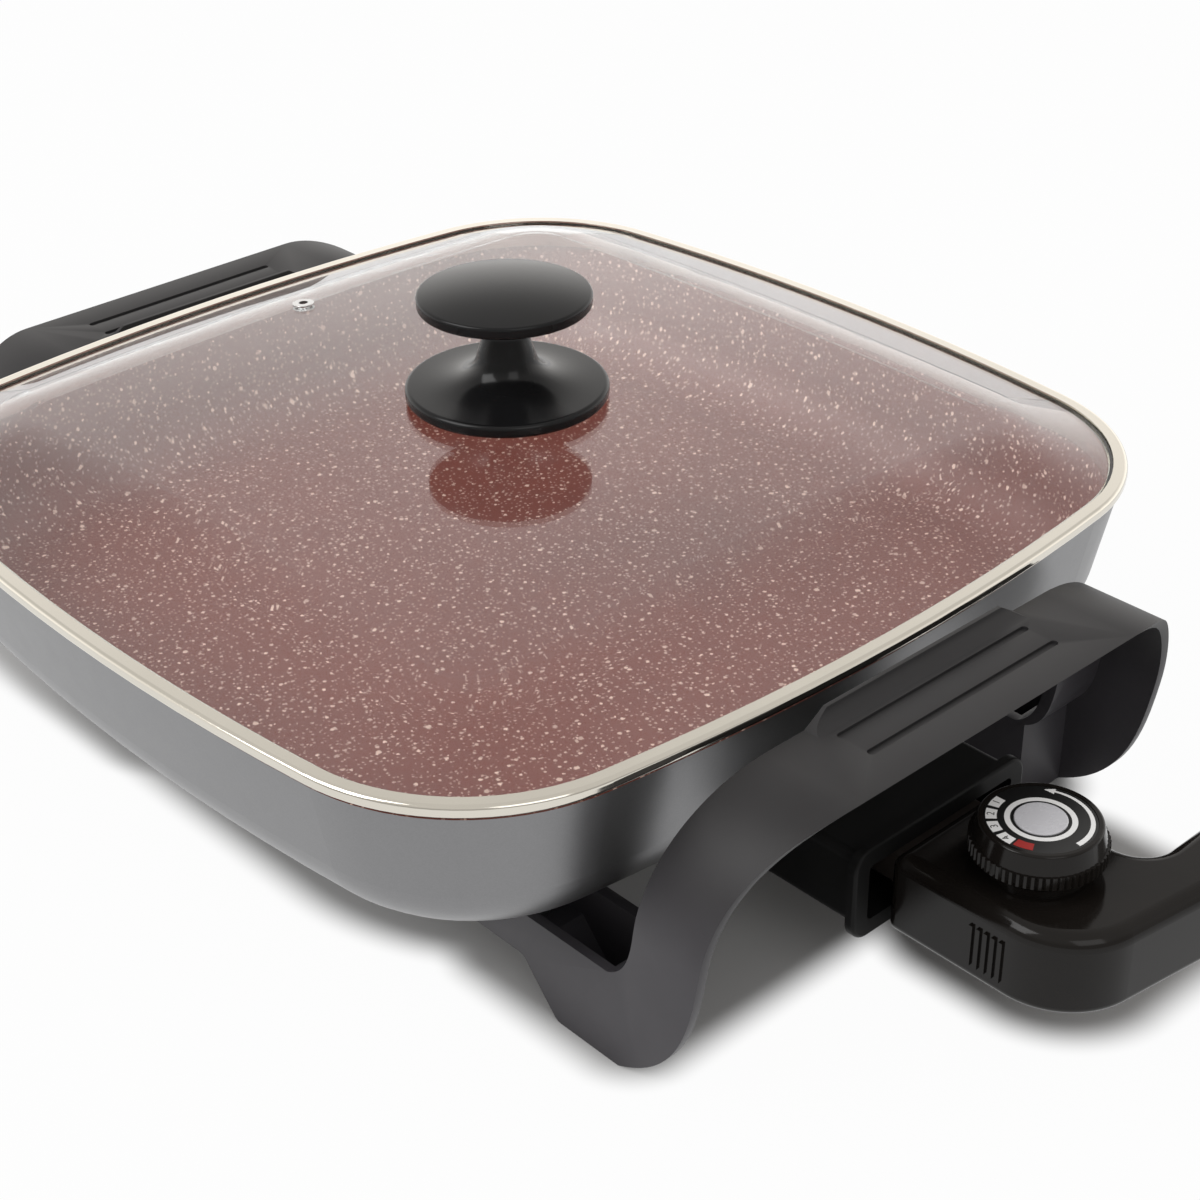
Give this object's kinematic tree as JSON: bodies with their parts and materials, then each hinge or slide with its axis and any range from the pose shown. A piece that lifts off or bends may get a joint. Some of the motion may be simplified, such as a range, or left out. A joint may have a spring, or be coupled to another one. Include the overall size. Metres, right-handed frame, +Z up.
{
  "type": "electric skillet",
  "caption": "Square electric skillet with tapered non-stick pan, leg handles, lift-off glass lid with spool knob, and plug-in thermostat control with a knurled dial.",
  "frame": {"origin": "on the table, under the middle of the pan", "axes": "+Z up, +X from the pan's middle towards the plug-in control, +Y along the grips"},
  "size_m": [0.4437, 0.3134, 0.1471],
  "materials": {
    "pan_coat": "metallic grey outside, red-brown speckled non-stick inside",
    "rim_steel": "polished rolled steel",
    "steel": "bright steel",
    "heater_sheath": "dull heat-stained sheath",
    "lid_glass": "clear tempered glass, slightly hazed",
    "handle_plastic": "matte anthracite moulding",
    "knob_plastic": "semi-gloss black moulding",
    "guard_plastic": "satin black moulding",
    "control_plastic": "glossy black moulding",
    "silicone": "soft silicone",
    "ceramic": "unglazed ceramic",
    "phenolic": "phenolic moulding",
    "contact_brass": "plain brass",
    "dial_print": "black disc with plain white marks",
    "dial_cap": "pale grey, slightly translucent",
    "lamp_glass": "small neon lamp"
  },
  "bodies": {
    "base": {"pan_body": "pan_coat", "heating_element": "heater_sheath", "terminal_pins": "steel", "socket_guard": "guard_plastic", "guard_screws": "steel", "handle_right": "handle_plastic", "handle_left": "handle_plastic", "handle_screws": "steel", "handle_washers": "steel"},
    "lid": {"lid_glass": "lid_glass", "lid_rim": "rim_steel", "vent_eyelet": "steel", "knob_seal": "silicone", "knob_skirt": "knob_plastic", "knob_grip": "knob_plastic", "knob_washer": "steel", "knob_screw": "steel"},
    "control": {"control_top_shell": "control_plastic", "control_bottom_shell": "control_plastic", "shell_screws": "steel", "plug_block": "phenolic", "terminal_sockets": "contact_brass", "sensor_rod": "steel", "thermostat_frame": "steel", "insulator_stack": "ceramic", "contact_blades": "contact_brass", "pilot_lamp": "lamp_glass", "terminal_block": "ceramic"},
    "dial": {"dial_body": "control_plastic", "dial_face": "dial_print", "dial_cap": "dial_cap", "dial_shaft": "steel"}
  },
  "joints": [
    {"name": "lid_lift", "type": "slide", "parent": "base", "child": "lid", "axis": [0, 0, 1], "range_m": [0, 0.15]},
    {"name": "control_pull", "type": "slide", "parent": "base", "child": "control", "axis": [1, 0, 0], "range_m": [0, 0.115]},
    {"name": "dial_turn", "type": "hinge", "parent": "control", "child": "dial", "pos_m": [0.207, 0, 0.057], "axis": [0, 0, -1], "range_deg": [0, 270]}
  ]
}
